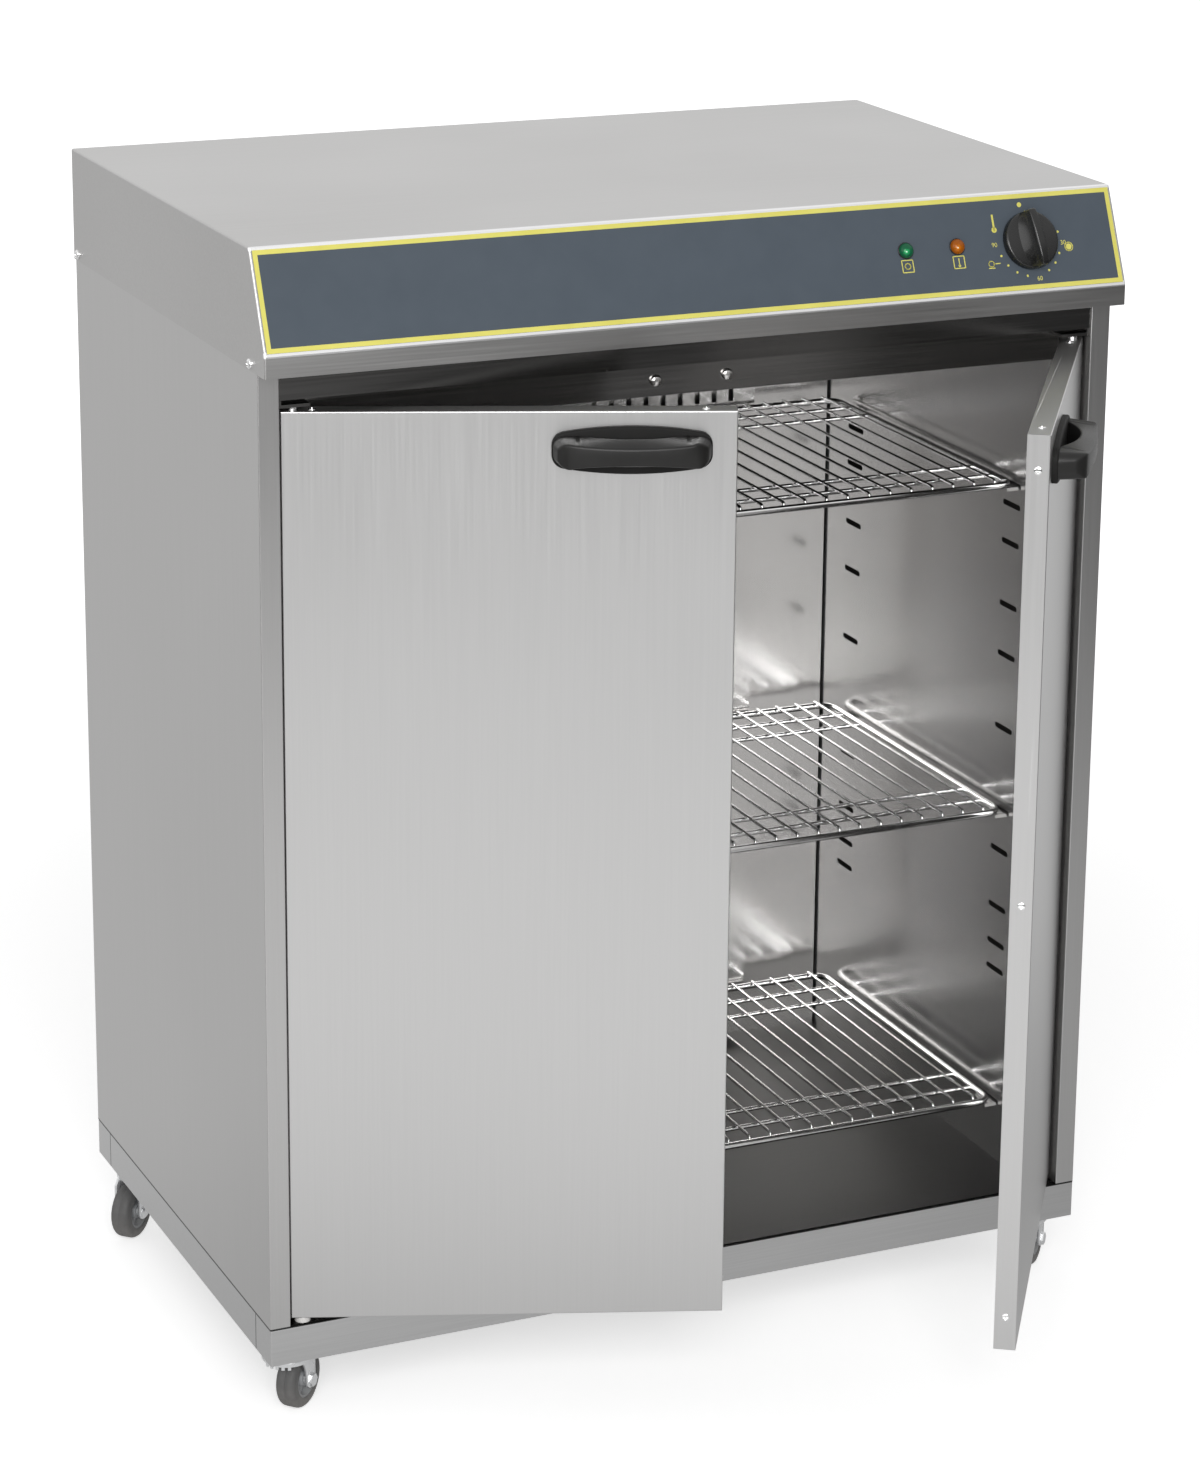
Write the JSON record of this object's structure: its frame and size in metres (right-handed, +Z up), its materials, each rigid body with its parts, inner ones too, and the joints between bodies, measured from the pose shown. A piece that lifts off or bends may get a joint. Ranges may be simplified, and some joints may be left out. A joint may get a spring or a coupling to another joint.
{
  "type": "plate warmer",
  "caption": "Heated steel cupboard on swivel castors with double-skinned swing doors, wire plate shelves, a sloping control panel with a thermostat knob and pilot lamps.",
  "frame": {"origin": "on the floor under the middle of the body", "axes": "+Z up, front with doors and controls towards -Y, +X to the right seen from the front"},
  "size_m": [0.7648, 0.7692, 0.985],
  "materials": {
    "outer_steel": "satin",
    "door_steel": "satin",
    "cavity_steel": "polished",
    "bright_wire": "polished",
    "zinc_plate": "satin",
    "screw_steel": "polished",
    "heater_sheath": "matte",
    "mineral_wool": "matte",
    "panel_film": "satin",
    "black_plastic": "satin",
    "white_nylon": "satin",
    "grey_core_plastic": "satin",
    "grey_rubber": "matte",
    "green_lens": "gloss",
    "orange_lens": "gloss",
    "magnet_grey": "satin"
  },
  "bodies": {
    "cabinet": {"plinth_front_rail": "outer_steel", "plinth_rear_rail": "outer_steel", "plinth_side_rails": "outer_steel", "cavity_floor": "cavity_steel", "left_side_panel": "outer_steel", "right_side_panel": "outer_steel", "rear_panel": "outer_steel", "top_cap": "outer_steel", "header_strip": "outer_steel", "door_stop_rail": "cavity_steel", "inner_left_wall": "cavity_steel", "inner_right_wall": "cavity_steel", "inner_back_wall": "cavity_steel", "inner_ceiling": "cavity_steel", "rear_duct_cover": "cavity_steel", "insulation_slabs": "mineral_wool", "heating_element": "heater_sheath", "heater_clips": "cavity_steel", "shelf_clips": "cavity_steel", "pivot_brackets": "zinc_plate", "pivot_pins": "screw_steel", "pivot_bushes": "white_nylon", "catch_magnets": "magnet_grey", "cap_screws": "screw_steel", "control_decal": "panel_film", "thermostat_body": "black_plastic", "green_pilot_lamp": "green_lens", "orange_pilot_lamp": "orange_lens", "terminal_block": "white_nylon", "cable_gland": "black_plastic", "castor_plates": "zinc_plate"},
    "left_door": {"left_door_skin": "door_steel", "left_door_liner": "door_steel", "left_door_insulation": "mineral_wool", "left_door_pivot_blocks": "white_nylon", "left_door_screws": "screw_steel", "left_door_handle": "black_plastic"},
    "right_door": {"right_door_skin": "door_steel", "right_door_liner": "door_steel", "right_door_insulation": "mineral_wool", "right_door_pivot_blocks": "white_nylon", "right_door_screws": "screw_steel", "right_door_handle": "black_plastic"},
    "knob": {"control_knob": "black_plastic", "knob_spindle": "screw_steel"},
    "lower_shelf": {"lower_wire_shelf": "bright_wire"},
    "middle_shelf": {"middle_wire_shelf": "bright_wire"},
    "upper_shelf": {"upper_wire_shelf": "bright_wire"},
    "front_left_swivel": {"front_left_castor_fork": "zinc_plate"},
    "front_left_wheel": {"front_left_castor_core": "grey_core_plastic", "front_left_castor_tyre": "grey_rubber"},
    "front_right_swivel": {"front_right_castor_fork": "zinc_plate"},
    "front_right_wheel": {"front_right_castor_core": "grey_core_plastic", "front_right_castor_tyre": "grey_rubber"},
    "rear_left_swivel": {"rear_left_castor_fork": "zinc_plate"},
    "rear_left_wheel": {"rear_left_castor_core": "grey_core_plastic", "rear_left_castor_tyre": "grey_rubber"},
    "rear_right_swivel": {"rear_right_castor_fork": "zinc_plate"},
    "rear_right_wheel": {"rear_right_castor_core": "grey_core_plastic", "rear_right_castor_tyre": "grey_rubber"}
  },
  "joints": [
    {"name": "left_door_swing", "type": "hinge", "parent": "cabinet", "child": "left_door", "pos_m": [-0.343, -0.226, 0.48], "axis": [0, 0, -1], "range_deg": [-21, 89]},
    {"name": "right_door_swing", "type": "hinge", "parent": "cabinet", "child": "right_door", "pos_m": [0.343, -0.226, 0.48], "axis": [0, 0, 1], "range_deg": [-56, 54]},
    {"name": "thermostat_knob_turn", "type": "hinge", "parent": "cabinet", "child": "knob", "pos_m": [0.2905, -0.238, 0.946], "axis": [0, 0.9167, -0.3996], "range_deg": [0, 290]},
    {"name": "lower_shelf_lift", "type": "slide", "parent": "cabinet", "child": "lower_shelf", "axis": [0, 0, 1], "range_m": [0, 0.015]},
    {"name": "middle_shelf_lift", "type": "slide", "parent": "cabinet", "child": "middle_shelf", "axis": [0, 0, 1], "range_m": [0, 0.015]},
    {"name": "upper_shelf_lift", "type": "slide", "parent": "cabinet", "child": "upper_shelf", "axis": [0, 0, 1], "range_m": [0, 0.015]},
    {"name": "front_left_castor_swivel", "type": "hinge", "parent": "cabinet", "child": "front_left_swivel", "pos_m": [-0.3465, -0.197, 0.0567], "axis": [0, 0, 1], "continuous": true},
    {"name": "front_left_wheel_spin", "type": "hinge", "parent": "front_left_swivel", "child": "front_left_wheel", "pos_m": [-0.33312, -0.18496, 0.025], "axis": [-0.6691, 0.7431, 0], "continuous": true},
    {"name": "front_right_castor_swivel", "type": "hinge", "parent": "cabinet", "child": "front_right_swivel", "pos_m": [0.3465, -0.197, 0.0567], "axis": [0, 0, 1], "continuous": true},
    {"name": "front_right_wheel_spin", "type": "hinge", "parent": "front_right_swivel", "child": "front_right_wheel", "pos_m": [0.359, -0.18405, 0.025], "axis": [-0.7193, 0.6947, 0], "continuous": true},
    {"name": "rear_left_castor_swivel", "type": "hinge", "parent": "cabinet", "child": "rear_left_swivel", "pos_m": [-0.3465, 0.197, 0.0567], "axis": [0, 0, 1], "continuous": true},
    {"name": "rear_left_wheel_spin", "type": "hinge", "parent": "rear_left_swivel", "child": "rear_left_wheel", "pos_m": [-0.35945, 0.1845, 0.025], "axis": [0.6947, -0.7193, 0], "continuous": true},
    {"name": "rear_right_castor_swivel", "type": "hinge", "parent": "cabinet", "child": "rear_right_swivel", "pos_m": [0.3465, 0.197, 0.0567], "axis": [0, 0, 1], "continuous": true},
    {"name": "rear_right_wheel_spin", "type": "hinge", "parent": "rear_right_swivel", "child": "rear_right_wheel", "pos_m": [0.36029, 0.20857, 0.025], "axis": [-0.6428, 0.766, 0], "continuous": true}
  ]
}
